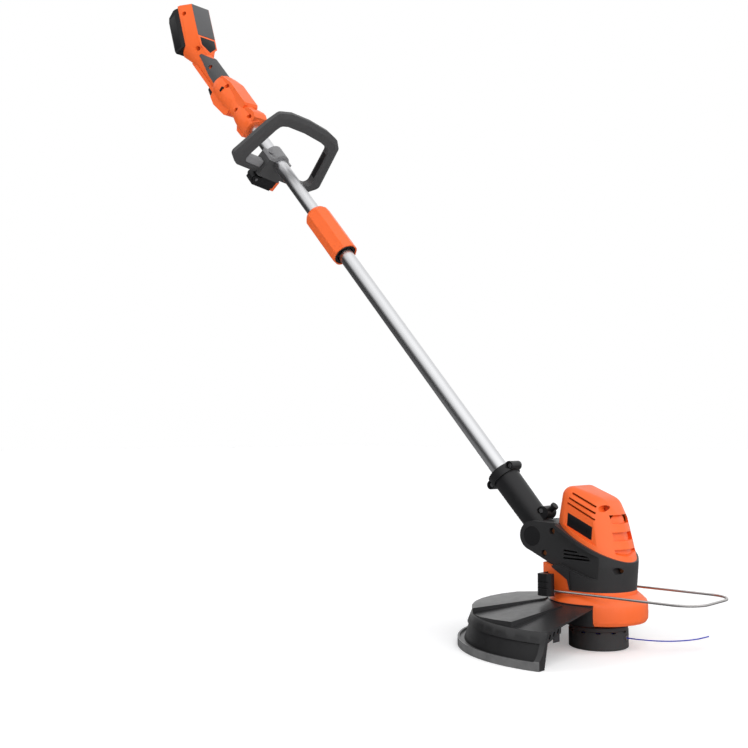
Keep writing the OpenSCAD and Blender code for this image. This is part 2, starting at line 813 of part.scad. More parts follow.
module tilt_button() {
  color(black) shaft_frame(lug_s - 2) rotate([0, 90, 0]) {
    translate([0, 0, lug_reach - 5]) cylinder(r = 4, h = 10);
    translate([0, 0, lug_reach + 4.5]) cylinder(r = 5.5, h = 4);
  }
}

// Head
module tilt_pin() {
  color(steel) cross_bar(-pivot_back, pivot_z, tilt_pin_r, -cheek_out + 3, cheek_out - 3);
}

module pivot_caps() {
  color(black) for (hand = [-1, 1])
    cross_bar(-pivot_back, pivot_z, pivot_cap_r, hand > 0 ? cheek_out - 3 : -cheek_out - 1,
        hand > 0 ? cheek_out + 1 : -cheek_out + 3);
}

// Split line between the lower shell and the motor cap, as points in the side view
split_slope = (split_back_z - split_front_z) / (shell_r + 38);
function split_z(x) = split_front_z + (shell_r - x) * split_slope;
split_line = [[-pivot_back + 18, split_back_z + 1.2], [-38, split_back_z], [big / 4, split_z(big / 4)]];
arm_root = [-44, 106];
arm_knee = [-16, 91];

module below_split() {
  side(big) polygon(concat(split_line, [[big / 4, 0], [-pivot_back + 18, 0]]));
}

module above_split() {
  side(big) polygon(concat(split_line, [[big / 4, big], [-pivot_back + 18, big]]));
}

module arm_outline() {
  hull() {
    translate([-pivot_back, pivot_z]) circle(cheek_r);
    polygon([[-38, split_back_z], arm_root, [-20, 96], [-20, split_z(-20)]]);
  }
}

module shell_plan(inset) {
  hull() {
    circle(shell_r - inset);
    translate([-pivot_back, 0]) square([50, 2 * (cheek_out - inset)], center = true);
  }
}

// Plan between the flat sides, which spread a little toward the front
function flat_y(x) = cheek_out + (x + pivot_back) * 0.085;
module flat_plan(inset) {
  polygon([[-big / 2, inset - cheek_out], [-pivot_back, inset - cheek_out],
           [big / 2, inset - flat_y(big / 2)], [big / 2, flat_y(big / 2) - inset],
               [-pivot_back, cheek_out - inset], [-big / 2, cheek_out - inset]]);
}

// Side view of the flat, under the round rim and above the round foot
shell_rim = 5;
flat_front = 32;
flat_outline = [[-big / 2, 0], [arm_root[0] + 2, 0], [arm_root[0] + 2, arm_root[1] + 1], [-29.5, 108.7],
                [-3.9, 100.9], [14.3, 95.2], [flat_front, 93.5],
                    [flat_front, split_z(flat_front) - shell_rim],
                [-36, split_z(-36) - shell_rim], [-38, split_back_z + 20], [-big / 2, split_back_z + 20]];

module shell_form() {
  difference() {
    intersection() {
      union() {
        side(big) arm_outline();
        intersection() {
          below_split();
          side(big) polygon([arm_root, arm_knee, [upstand_front, shell_bottom], [big / 4, shell_bottom],
                             [big / 4, big], [arm_root[0], big]]);
        }
      }
      linear_extrude(big) shell_plan(0);
    }
    intersection() {
      translate([upstand_front, -big / 2, shell_bottom - 1]) cube(big);
      difference() {
        cylinder(r = shell_r + 5, h = split_front_z - 4);
        translate([0, 0, shell_bottom - 2])
          cylinder(r1 = shell_r - shell_draft, r2 = shell_r, h = split_front_z - shell_bottom - 1);
      }
    }
    difference() {
      side(big) polygon(flat_outline);
      linear_extrude(big) flat_plan(0);
    }
  }
}

arm_screw_places = [[-46, 151.5], [-60, 121]];
shell_screw = [45, 105];
cap_screw = [24, 184];
boss_r = well_r + 2.4;

// Vent slots in the flat sides: middle, length and slope
shell_vents = [[-16.5, 127, 22, 3], [-7, 122, 41, 2], [-7, 117.5, 42, 0]];
cap_vents = [[-0.5, 194.5, 39], [-1.7, 187.3, 43.6], [-2.3, 180, 46.5]];

module shell_shell() {
  difference() {
    union() {
      difference() {
        shell_form();
        intersection() {
          linear_extrude(big) shell_plan(shell_wall);
          linear_extrude(big) flat_plan(shell_wall);
          translate([-40, -big / 2, 0]) cube([big, big, big]);
        }
      }
      intersection() {
        shell_form();
        cross_bar(shell_screw[0], shell_screw[1], boss_r, -big / 4, big / 4);
      }
    }
    cross_bar(-pivot_back, pivot_z, cheek_r + 2 * gap, -cheek_in, cheek_in);
    translate([-pivot_back - big, -cheek_in, 0]) cube([big, 2 * cheek_in, big]);
    shaft_frame() cylinder(r = neck_r + 2 * gap, h = 80);
    cross_bar(-pivot_back, pivot_z, tilt_pin_r + hair, -cheek_out + 3, cheek_out - 3);
    for (hand = [-1, 1])
      cross_bar(-pivot_back, pivot_z, pivot_cap_r + hair, hand > 0 ? cheek_out - 3 : -big / 4,
                hand > 0 ? big / 4 : -cheek_out + 3);
    for (p = arm_screw_places) screw_hole(p[0], p[1], -cheek_out + 4, 12);
    screw_hole(shell_screw[0], shell_screw[1], -14, 12);
    for (v = shell_vents) translate([v[0], 0, v[1]]) rotate([0, v[3], 0]) cube([v[2], big, vent_w],
        center = true);
  }
}

module shell_left() { color(dark) half(1) shell_shell(); }
module shell_right() { color(dark) half(-1) shell_shell(); }

// Motor cap: a soft form that leans back, with flat sides above a round lip, hollow inside
module cap_form(inset) {
  hull() {
    translate([0, 0, 100]) cylinder(r = cap_r - inset, h = 12);
    translate([-6, 0, cap_top - 44]) cylinder(r = cap_r - 8 - inset, h = 3);
    for (hand = [-1, 1]) {
      translate([-24, hand * 20.4, cap_top - 14]) sphere(14 - inset, $fn = 32);
      translate([8, hand * 14, cap_top - 32]) sphere(20 - inset, $fn = 32);
    }
  }
}

function cap_side(z) = cap_half - 0.1 * (z - 136);
module cap_flats(inset) {
  rotate([90, 0, 90]) linear_extrude(big, center = true)
    polygon([[inset - cap_side(0), 0], [cap_side(0) - inset, 0],
             [cap_side(cap_top + 9) - inset, cap_top + 9], [inset - cap_side(cap_top + 9), cap_top + 9]]);
}

module cap_lip_zone() {
  side(big) polygon(concat(split_line, [for (i = [2:-1:0]) split_line[i] + [0, cap_lip]]));
}

// Three shallow pockets across the front
pocket_z = [126, 148, 170];
pocket_h = 11;
pocket_deep = 5;
module cap_pockets() {
  difference() {
    intersection() {
      for (i = [0:2]) translate([20, 2 * i - 26, pocket_z[i] - pocket_h / 2])
          cube([big / 4, 52 - 4 * i, pocket_h]);
      translate([0, 0, cap_lip]) above_split();
    }
    cap_form(pocket_deep);
  }
}

module cap_shell() {
  difference() {
    union() {
      difference() {
        intersection() {
          cap_form(0);
          above_split();
          union() {
            cap_lip_zone();
            cap_flats(0);
          }
        }
        intersection() {
          cap_form(cap_wall);
          cap_flats(cap_wall);
          translate([30 - big, -big / 2, 0]) cube(big);
        }
      }
      intersection() {
        cap_form(0);
        cap_flats(0);
        cross_bar(cap_screw[0], cap_screw[1], boss_r, -big / 4, big / 4);
      }
    }
    screw_hole(cap_screw[0], cap_screw[1], -14, 12);
    for (v = cap_vents) translate([v[0], 0, v[1]]) rotate([0, 26, 0]) cube([v[2], big, vent_w],
        center = true);
    cap_pockets();
  }
}

module cap_left() { color(orange) half(1) cap_shell(); }
module cap_right() { color(orange) half(-1) cap_shell(); }

module head_screws() {
  color(steel) {
    for (p = arm_screw_places) screw(p[0], p[1], -cheek_out + 4, 12);
    screw(shell_screw[0], shell_screw[1], -14, 12);
    screw(cap_screw[0], cap_screw[1], -14, 12);
  }
}

// Base with its upstand under the arm
base_foot = 4;
base_side = 24;
shoulder_z = wire_z - wire_d / 2 - 1;
module base() {
  color(orange) difference() {
    union() {
      rotate_extrude() polygon([[spindle_r + 2, base_bottom + 8], [spool_r + 3, base_bottom + 8],
        [spool_r + 3, base_bottom], [base_r - 3, base_bottom], [base_r - 0.5, base_bottom + base_foot],
        [base_r, base_bottom + base_side / 2], [base_r - 0.5, base_bottom + base_side],
        [base_r - 2, base_bottom + base_side + base_foot], [base_r - 6, shoulder_z - wire_d - 1.5],
        [plateau_r + 2.5, shoulder_z], [plateau_r + 0.5, shoulder_z], [plateau_r, shell_bottom],
        [motor_r + 4, shell_bottom], [motor_r + 4, shell_bottom - 6], [spindle_r + 2, shell_bottom - 6]]);
      intersection() {
        side(2 * upstand_half) polygon([[upstand_back, shell_bottom - 5], [upstand_back, arm_root[1] + 4],
                                        arm_root, arm_knee, [upstand_front, shell_bottom],
                                            [upstand_front, shell_bottom - 5]]);
        linear_extrude(big) shell_plan(1.5);
      }
    }
    translate([0, 0, shell_bottom - 6]) cylinder(r = motor_r + 4, h = big);
    translate([0, 0, base_bottom - 1]) difference() {
      guard_field(deck_inner_z - base_bottom + 1);
      translate([0, 0, -1]) cylinder(r = guard_collar_in, h = big);
    }
  }
}

// Guard: a revolved deck, a leaning band, a drop wall and a rim, cut off straight at the front
deck_in_r = guard_collar_in + guard_back - 6;
rim_in = guard_r - guard_wall;
drop_r = rim_in - guard_channel;
deck_edge = guard_r - 19;
band_out = deck_edge + 5.5;
band_z = 30;
channel_z = 8;
guard_edge = guard_front + guard_back;
front_y = sqrt(deck_edge * deck_edge - guard_edge * guard_edge);
end_plate = 7;
function deck_z(r) = deck_inner_z - (r - deck_in_r) * (deck_inner_z - deck_outer_z) / (deck_edge -
    deck_in_r);

module deck_profile(t, lift) {
  polygon([[deck_in_r - 30, deck_inner_z + lift], [deck_in_r, deck_inner_z + lift],
           [deck_edge, deck_outer_z + lift], [deck_edge, deck_outer_z + lift - t],
               [deck_in_r, deck_inner_z + lift - t],
           [deck_in_r - 30, deck_inner_z + lift - t]]);
}

module guard_profile() {
  deck_profile(guard_wall, 0);
  polygon([[deck_edge - 0.2, deck_outer_z], [deck_edge + 0.8, deck_outer_z - 1], [band_out, band_z],
           [band_out - 2.5, band_z - 1], [drop_r, channel_z], [rim_in, channel_z], [rim_in, guard_rim],
           [guard_r, guard_rim], [guard_r, 0], [rim_in, 0], [rim_in, channel_z - guard_wall],
           [drop_r - guard_wall, channel_z - guard_wall], [band_out - 2.5 - guard_wall, band_z - 2],
           [deck_edge - 0.2, deck_outer_z - guard_wall]]);
}

// Ground that the guard covers: a straight front edge on each side of its own axis
module guard_field(h) {
  bend_y = guard_edge * tan(guard_turn);
  translate([-guard_back, 0, 0]) linear_extrude(h)
    polygon([[guard_edge, -big], [guard_edge, bend_y],
             [guard_edge - big * sin(2 * guard_turn), bend_y + big * cos(2 * guard_turn)],
             [-big, big], [-big, -big]]);
}

// A form drawn on the left, set mirrored on the right and turned back with the guard on the left
module both_halves() {
  mirror([0, 1, 0]) children();
  rotate([0, 0, 2 * guard_turn]) children();
}

// Plate that closes an end of the channel
module end_wall() {
  intersection() {
    rotate_extrude($fn = 128) polygon([
      [deck_edge - 1, deck_outer_z - 1], [band_out, band_z], [drop_r + 1, band_z - 12],
          [rim_in - 1, guard_rim + 3],
      [guard_r, guard_rim], [guard_r, 0], [drop_r - guard_wall, 0],
          [band_out - 2.5 - guard_wall, band_z - 2]]);
    translate([guard_edge - end_plate, 0, 0]) cube([end_plate, big, big]);
  }
}

// Flange under the front edge of the deck, deep at the end wall and running out toward the base
module front_flange() {
  intersection() {
    rotate_extrude($fn = 128) deck_profile(15, 0);
    translate([guard_edge - guard_wall, 0, 0]) rotate([90, 0, 90]) linear_extrude(guard_wall)
      polygon([[front_y + 9, band_z + 0.5], [front_y, band_z + 0.5], [front_y - 30, band_z + 9],
               [front_y - 50, big], [front_y + 9, big]]);
  }
}

// Raised pads: angle, share of the deck's radius and height above the deck
ramp_posts = [[95, 0.45, 1], [98, 1, pad_h + 2], [110, 1, pad_h], [122, 1, pad_h - 2.5], [133, 1, 0.8],
              [142, 0.44, 0.3]];
rear_posts = [for (i = [-3:3]) for (s = [[0.42, pad_h / 2], [1, pad_h + 2]])
              [180 + guard_turn + 10 * i, s[0], s[1]]];

module raised(posts) {
  intersection() {
    hull() for (p = posts) rotate([0, 0, p[0]])
      translate([p[1] * (deck_edge - 1), 0, deck_z(p[1] * deck_edge) - 1])
          cylinder(r = 0.6, h = p[2] + 1, $fn = 8);
    rotate_extrude($fn = 128) deck_profile(16, 15);
  }
}

module guard() {
  color(black) difference() {
    intersection() {
      union() {
        translate([-guard_back, 0, 0]) {
          rotate_extrude($fn = 128) guard_profile();
          raised(rear_posts);
          both_halves() raised(ramp_posts);
          both_halves() end_wall();
          both_halves() front_flange();
        }
        pipe(base_r + 0.8, guard_collar_in - 1, base_bottom, deck_inner_z);
      }
      guard_field(big);
    }
    cylinder(r = guard_collar_in + hair, h = big);
    translate([0, 0, deck_inner_z]) cylinder(r = base_r + gap, h = big);
    translate([-guard_back, 0, 0]) both_halves() for (i = [0:2])
      translate([guard_edge, front_y - 5 - 9 * i, band_z + 7.5 + 2.2 * i]) rotate([25, 0, 0])
        cube([4 * guard_wall, 3, 6], center = true);
  }
}

blade_y = front_y - 31;
blade_w = 13;
module cutoff_blade() {
  color(steel) translate([guard_front - guard_wall - 1.5, -blade_y - blade_w, band_z - 2])
      cube([1.5, blade_w, 15]);
}

// Blocks that carry the wire guide
block_in = wire_half + wire_d / 2 + gap;
block_deep = 11;
block_out = block_in + block_deep;
block_h = 29;
block_len = 20;
block_back = -wire_back - 6;
module guide_blocks() {
  color(black) for (hand = [0, 1]) mirror([0, hand, 0]) difference() {
    union() {
      translate([block_back, -block_out, wire_z - 6]) linear_extrude(block_h)
        polygon([[0, 2], [3, 0], [block_len - 5, 0], [block_len, 4], [block_len, block_deep],
            [0, block_deep]]);
      translate([block_back, -block_in - 0.1, wire_z - 6]) cube([1.9, block_in - cheek_out + 6, block_h]);
    }
    for (z = [9, 17]) translate([block_back - 1, -block_out - 1, wire_z - 6 + z])
        cube([block_len + 2, 2.2, 2]);
    cross_bar(-wire_back, wire_z, wire_d / 2 + run_fit, -block_out + 3, -block_in + 1);
    base_upstand_space();
  }
}

module base_upstand_space() {
  linear_extrude(big) shell_plan(1.5 - hair);
}

// Wire guide: a U of round wire with hinge ends turned outwards
module wire_guide() {
  color(steel) translate([0, 0, wire_z]) {
    for (hand = [0, 1]) mirror([0, hand, 0]) {
      translate([-wire_back, -wire_half, 0]) rotate([0, 90, 0])
        cylinder(r = wire_d / 2, h = wire_front - wire_bend + wire_back);
      translate([wire_front - wire_bend, -wire_half + wire_bend, 0]) rotate([0, 0, -90])
          rotate_extrude(angle = 90)
        translate([wire_bend, 0]) circle(wire_d / 2);
      translate([wire_front, -wire_half + wire_bend, 0]) rotate([-90, 0, 0])
        cylinder(r = wire_d / 2, h = wire_half - wire_bend + hair);
      translate([-wire_back, -block_out + 4, 0]) rotate([-90, 0, 0])
        cylinder(r = wire_d / 2, h = block_out - 4 - wire_half);
      translate([-wire_back, -wire_half, 0]) sphere(wire_d / 2);
    }
  }
}

// Motor
module motor_can() {
  color(steel) difference() {
    translate([0, 0, motor_lo]) cylinder(r = motor_r, h = motor_len);
    translate([0, 0, motor_lo + 6]) cylinder(r = motor_r - 2, h = motor_len - 12);
    translate([0, 0, motor_lo - 1]) cylinder(r = spindle_r + 4 + hair, h = motor_len + 2);
  }
  color(black) pipe(motor_r + 3, motor_r - 4, shell_bottom - 6, motor_lo);
}

module motor_bearings() {
  color("gray") for (z = [motor_lo, motor_hi - 6]) pipe(spindle_r + 4, spindle_r + run_fit, z, z + 6);
}

module armature() {
  color("peru") pipe(motor_r - 5, spindle_r + hair, motor_lo + 10, motor_hi - 10);
}

module spindle() {
  color(steel) translate([0, 0, 9]) cylinder(r = spindle_r, h = motor_hi - 9 + 2);
}

// Spool
module spool_drum() {
  color(dark) difference() {
    rotate_extrude() polygon([[spindle_r + hair, spool_h - spool_wall],
      [spool_r - spool_wall, spool_h - spool_wall], [spool_r - spool_wall, 4], [spool_r, 4],
          [spool_r, spool_h - 6], [spool_r - 0.6, spool_h - 5.4], [spool_r - 0.6, spool_h - 1],
              [spool_r - 1.6, spool_h],
      [spindle_r + hair, spool_h]]);
    for (a = [0:30:330]) rotate([0, 0, a]) translate([spool_r, 0, spool_h - 7])
        cube([4 * spool_wall, 6, 2], center = true);
    translate([0, 0, eyelet_z]) rotate([0, 90, outlet_angle]) cylinder(r = 3 + hair, h = big);
  }
}

module spool_cap() {
  color(dark) difference() {
    rotate_extrude() polygon([[0, 0], [spool_r - 2, 0], [spool_r, 1.2], [spool_r, 4],
      [spool_r - spool_wall - 0.2, 4], [spool_r - spool_wall - 0.2, 7], [spool_r - 2 * spool_wall, 7],
          [spool_r - 2 * spool_wall, 3], [0, 3]]);
    for (hand = [-1, 1]) translate([hand * spool_r, 0, 6]) cube([3 * spool_wall, 12, 2.4], center = true);
  }
}

bobbin_r = spool_r - 2 * spool_wall - 1.5;
module line_bobbin() {
  color(pale) rotate_extrude() polygon([[spindle_r + hair, 8], [bobbin_r, 8], [bobbin_r, 9.5], [13, 9.5],
    [13, spool_h - 6], [bobbin_r, spool_h - 6], [bobbin_r, spool_h - 4.5],
        [spindle_r + hair, spool_h - 4.5]]);
}

module wound_line() {
  color("royalblue") pipe(bobbin_r - 3, 13, 9.5, spool_h - 6);
}

module line_eyelet() {
  color(steel) translate([0, 0, eyelet_z]) rotate([0, 90, outlet_angle])
      pipe(3, line_d / 2 + 0.15, spool_r - spool_wall, spool_r + 1.2);
}

// Cutting line swept as an eight-sided tube along its points
function unit(v) = v / norm(v);
function tangent(p, i) = unit(p[min(i + 1, len(p) - 1)] - p[max(i - 1, 0)]);
function ring(p, i, r, n) = let (t = tangent(p, i), a = unit(cross(t, [0, 0, 1])), b = cross(a, t))
  [for (k = [0:n - 1]) p[i] + r * (cos(360 * k / n) * a + sin(360 * k / n) * b)];

module sweep(p, r, n) {
  points = [for (i = [0:len(p) - 1]) each ring(p, i, r, n)];
  sides = [for (i = [0:len(p) - 2]) for (k = [0:n - 1])
    each [[i * n + k, i * n + (k + 1) % n, (i + 1) * n + k],
        [i * n + (k + 1) % n, (i + 1) * n + (k + 1) % n, (i + 1) * n + k]]];
  last = (len(p) - 1) * n;
  ends = concat([for (k = [1:n - 2]) [0, k + 1, k]], [for (k = [1:n - 2]) [last, last + k, last + k + 1]]);
  polyhedron(points, concat(sides, ends));
}

module cutting_line() { color("royalblue") sweep(line_points, line_d / 2, 8); }

upper_tube();
housing_left();
housing_right();
collar_pad();
top_panel();
grip_pad();
housing_screws();
power_switch();
control_board();
terminal_block();
trigger_pin();
trigger();
lock_button();
battery_case();
battery_rail();
battery_cells();
battery_latch();
bail_handle();
bail_grip();
clamp_cap();
clamp_block();
clamp_bolts();
lever_pin();
clamp_lever();
lever_tip();
collet();
lock_sleeve();
lower_tube();
neck_left();
neck_right();
neck_screws();
tilt_button();
tilt_pin();
pivot_caps();
shell_left();
shell_right();
cap_left();
cap_right();
base();
guard();
cutoff_blade();
head_screws();
guide_blocks();
wire_guide();
motor_can();
motor_bearings();
armature();
spindle();
spool_drum();
spool_cap();
line_bobbin();
wound_line();
line_eyelet();
cutting_line();
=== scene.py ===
"""Looks for the cordless string trimmer: moulded orange and grey housings on an aluminium shaft."""

import json
import math

import bmesh
import bpy
from mathutils import Matrix, Vector


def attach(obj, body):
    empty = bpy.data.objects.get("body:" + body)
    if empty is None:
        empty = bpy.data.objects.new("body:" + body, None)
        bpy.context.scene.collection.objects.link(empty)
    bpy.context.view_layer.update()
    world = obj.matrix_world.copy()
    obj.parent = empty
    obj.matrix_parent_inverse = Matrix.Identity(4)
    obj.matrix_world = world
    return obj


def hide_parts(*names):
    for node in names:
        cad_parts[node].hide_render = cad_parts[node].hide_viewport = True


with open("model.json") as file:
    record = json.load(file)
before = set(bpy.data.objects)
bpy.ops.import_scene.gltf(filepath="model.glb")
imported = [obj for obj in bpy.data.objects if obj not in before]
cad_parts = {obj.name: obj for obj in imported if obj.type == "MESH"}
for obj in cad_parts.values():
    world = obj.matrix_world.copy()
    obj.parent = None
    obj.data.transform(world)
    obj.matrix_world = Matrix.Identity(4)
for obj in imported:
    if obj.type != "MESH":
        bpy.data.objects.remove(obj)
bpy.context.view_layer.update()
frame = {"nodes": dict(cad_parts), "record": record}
nodes = frame["nodes"]
body_of = {n: b for b, members in frame["record"]["behaviour"]["bodies"].items() for n in members}
slot_of = {s["node"]: s["material_slot"] for s in frame["record"]["subparts"]}
# The pad under the collar is moulded in the housing's colour
slot_of["collar_pad"] = "orange_plastic"

# Shaft frame: s runs up the shaft from the tilt pivot, h is the upper side, y the operator's left
TILT = math.radians(48.1)
PIVOT = Vector((-0.080, 0, 0.143))
UP_SHAFT = Vector((-math.cos(TILT), 0, math.sin(TILT)))
OVER_SHAFT = Vector((math.sin(TILT), 0, math.cos(TILT)))
ACROSS = Vector((0, 1, 0))


def on_shaft(s, h=0.0, y=0.0):
    """A point given in millimetres along the shaft, above it and across it."""
    return PIVOT + UP_SHAFT * (s / 1000) + OVER_SHAFT * (h / 1000) + ACROSS * (y / 1000)


def axes(x, y, z, origin):
    """The matrix whose columns are three axes and an origin."""
    m = Matrix((x, y, z)).transposed().to_4x4()
    m.translation = origin
    return m


# Shared shader groups
def new_group(name, inputs, outputs):
    group = bpy.data.node_groups.new(name, "ShaderNodeTree")
    for label, kind, value in inputs:
        socket = group.interface.new_socket(label, in_out="INPUT", socket_type=kind)
        socket.default_value = value
    for label, kind in outputs:
        group.interface.new_socket(label, in_out="OUTPUT", socket_type=kind)
    return group, group.nodes.new("NodeGroupInput"), group.nodes.new("NodeGroupOutput")


def mix_colour(tree, factor, a, b):
    """A colour mix node; each of factor, a and b is a socket or a value."""
    node = tree.nodes.new("ShaderNodeMix")
    node.data_type = "RGBA"
    for socket, value in ((node.inputs[0], factor), (node.inputs[6], a), (node.inputs[7], b)):
        if isinstance(value, bpy.types.NodeSocket):
            tree.links.new(value, socket)
        else:
            socket.default_value = value
    return node.outputs[2]


def maths(tree, operation, a, b=0.0):
    node = tree.nodes.new("ShaderNodeMath")
    node.operation = operation
    for socket, value in zip(node.inputs, (a, b)):
        if isinstance(value, bpy.types.NodeSocket):
            tree.links.new(value, socket)
        else:
            socket.default_value = value
    return node.outputs[0]


def noise(tree, vector, scale, detail=3.0, rough=0.55):
    node = tree.nodes.new("ShaderNodeTexNoise")
    node.inputs["Detail"].default_value = detail
    node.inputs["Roughness"].default_value = rough
    tree.links.new(vector, node.inputs["Vector"])
    if isinstance(scale, bpy.types.NodeSocket):
        tree.links.new(scale, node.inputs["Scale"])
    else:
        node.inputs["Scale"].default_value = scale
    return node.outputs["Fac"]


def moulded_finish_group():
    """Moulded plastic: a spark-eroded grain, faint colour flow and handling marks."""
    group, given, out = new_group(
        "moulded finish",
        [("Colour", "NodeSocketColor", (0.5, 0.5, 0.5, 1)), ("Roughness", "NodeSocketFloat", 0.4),
         ("Grain Scale", "NodeSocketFloat", 900.0), ("Flow", "NodeSocketFloat", 0.06)],
        [("Colour", "NodeSocketColor"), ("Roughness", "NodeSocketFloat"), ("Height", "NodeSocketFloat")])
    place = group.nodes.new("ShaderNodeTexCoord").outputs["Object"]
    broad = noise(group, place, 9.0, 2.0)
    scuffs = noise(group, place, 70.0, 4.0, 0.7)
    grain = noise(group, place, given.outputs["Grain Scale"], 2.0)
    shade = maths(group, "MULTIPLY", maths(group, "SUBTRACT", broad, 0.5), given.outputs["Flow"])
    dark = mix_colour(group, maths(group, "ABSOLUTE", shade), given.outputs["Colour"], (0.02, 0.02, 0.02, 1))
    group.links.new(dark, out.inputs["Colour"])
    marks = maths(group, "MULTIPLY", maths(group, "SUBTRACT", scuffs, 0.5), 0.22)
    group.links.new(maths(group, "ADD", given.outputs["Roughness"], marks), out.inputs["Roughness"])
    group.links.new(grain, out.inputs["Height"])
    return group


def drawn_metal_group():
    """Drawn or ground metal: fine lines along one direction, with broad cloudy tarnish."""
    group, given, out = new_group(
        "drawn metal",
        [("Along", "NodeSocketVector", (0.0, 0.0, 0.0)), ("Colour", "NodeSocketColor", (0.7, 0.7, 0.7, 1)),
         ("Roughness", "NodeSocketFloat", 0.3), ("Spread", "NodeSocketFloat", 0.12)],
        [("Colour", "NodeSocketColor"), ("Roughness", "NodeSocketFloat"), ("Height", "NodeSocketFloat")])
    lines = noise(group, given.outputs["Along"], 1.0, 3.0, 0.6)
    place = group.nodes.new("ShaderNodeTexCoord").outputs["Object"]
    cloud = noise(group, place, 14.0, 3.0)
    tarnish = maths(group, "MULTIPLY", cloud, 0.18)
    dull = mix_colour(group, tarnish, given.outputs["Colour"], (0.3, 0.3, 0.32, 1))
    group.links.new(dull, out.inputs["Colour"])
    spread = maths(group, "MULTIPLY", maths(group, "SUBTRACT", lines, 0.5), given.outputs["Spread"])
    group.links.new(maths(group, "ADD", given.outputs["Roughness"], spread), out.inputs["Roughness"])
    group.links.new(lines, out.inputs["Height"])
    return group


MOULDED = moulded_finish_group()
DRAWN = drawn_metal_group()


def start_material(name, **sockets):
    material = bpy.data.materials.new(name)
    material.use_nodes = True
    shader = material.node_tree.nodes["Principled BSDF"]
    for socket, value in sockets.items():
        shader.inputs[socket.replace("_", " ")].default_value = value
    return material, material.node_tree, shader


def use_group(tree, shader, group, bump, depth, **values):
    placed = tree.nodes.new("ShaderNodeGroup")
    placed.node_tree = group
    for label, value in values.items():
        placed.inputs[label.replace("_", " ")].default_value = value
    tree.links.new(placed.outputs["Colour"], shader.inputs["Base Color"])
    tree.links.new(placed.outputs["Roughness"], shader.inputs["Roughness"])
    relief = tree.nodes.new("ShaderNodeBump")
    relief.inputs["Strength"].default_value = bump
    relief.inputs["Distance"].default_value = depth
    tree.links.new(placed.outputs["Height"], relief.inputs["Height"])
    tree.links.new(relief.outputs["Normal"], shader.inputs["Normal"])
    return placed


def plastic(name, colour, roughness, grain=900.0, bump=0.25, flow=0.08, **sockets):
    material, tree, shader = start_material(name, **sockets)
    use_group(tree, shader, MOULDED, bump, 0.0002,
              Colour=(*colour, 1), Roughness=roughness, Grain_Scale=grain, Flow=flow)
    return material


def metal(name, colour, roughness, stretch, turn=(0, 0, 0), bump=0.05, spread=0.12):
    """Metal whose grain runs along local Z after the turn; stretch holds the noise scale on each axis."""
    material, tree, shader = start_material(name, Metallic=1.0)
    placed = use_group(tree, shader, DRAWN, bump, 0.0001,
                       Colour=(*colour, 1), Roughness=roughness, Spread=spread)
    place = tree.nodes.new("ShaderNodeTexCoord")
    mapping = tree.nodes.new("ShaderNodeMapping")
    mapping.vector_type = "TEXTURE"
    mapping.inputs["Rotation"].default_value = turn
    mapping.inputs["Scale"].default_value = [1 / v for v in stretch]
    tree.links.new(place.outputs["Object"], mapping.inputs["Vector"])
    tree.links.new(mapping.outputs["Vector"], placed.inputs["Along"])
    return material


orange = plastic("orange moulding", (0.88, 0.132, 0.02), 0.38, 1100, 0.12, 0.05)
dark = plastic("dark grey moulding", (0.026, 0.026, 0.027), 0.44, 1300, 0.25, 0.25, Specular_IOR_Level=0.4)
black = plastic("black moulding", (0.011, 0.011, 0.012), 0.44, 1300, 0.3, 0.25, Specular_IOR_Level=0.3)
arm_black = plastic("black arm moulding", (0.012, 0.012, 0.013), 0.4, 1300, 0.25, 0.2,
                    Specular_IOR_Level=0.35)
guard_black = plastic("black guard moulding", (0.013, 0.013, 0.014), 0.33, 700, 0.2, 0.25,
                      Specular_IOR_Level=0.65)


def painted_rim_highlight(material, centre, inner, outer, colour):
    """Greys the outermost face of the guard's rim: a painted highlight for the light its rounded edge
    catches.
    """
    tree = material.node_tree
    shader = tree.nodes["Principled BSDF"]
    offset = tree.nodes.new("ShaderNodeVectorMath")
    offset.operation = "SUBTRACT"
    offset.inputs[1].default_value = centre
    place = tree.nodes.new("ShaderNodeTexCoord").outputs["Object"]
    tree.links.new(place, offset.inputs[0])
    flat = tree.nodes.new("ShaderNodeVectorMath")
    flat.operation = "MULTIPLY"
    flat.inputs[1].default_value = (1, 1, 0)
    tree.links.new(offset.outputs["Vector"], flat.inputs[0])
    radius = tree.nodes.new("ShaderNodeVectorMath")
    radius.operation = "LENGTH"
    tree.links.new(flat.outputs["Vector"], radius.inputs[0])
    rim = tree.nodes.new("ShaderNodeMapRange")
    rim.inputs["From Min"].default_value = inner
    rim.inputs["From Max"].default_value = outer
    tree.links.new(radius.outputs["Value"], rim.inputs["Value"])
    # Painted highlight: the rim's outer band is lightened in noisy patches
    patches = maths(tree, "ADD", noise(tree, place, 45.0, 4.0, 0.7), 0.35)
    rim_highlight = maths(tree, "MULTIPLY", rim.outputs["Result"], patches)
    plain = shader.inputs["Base Color"].links[0].from_socket
    tree.links.new(mix_colour(tree, rim_highlight, plain, colour), shader.inputs["Base Color"])
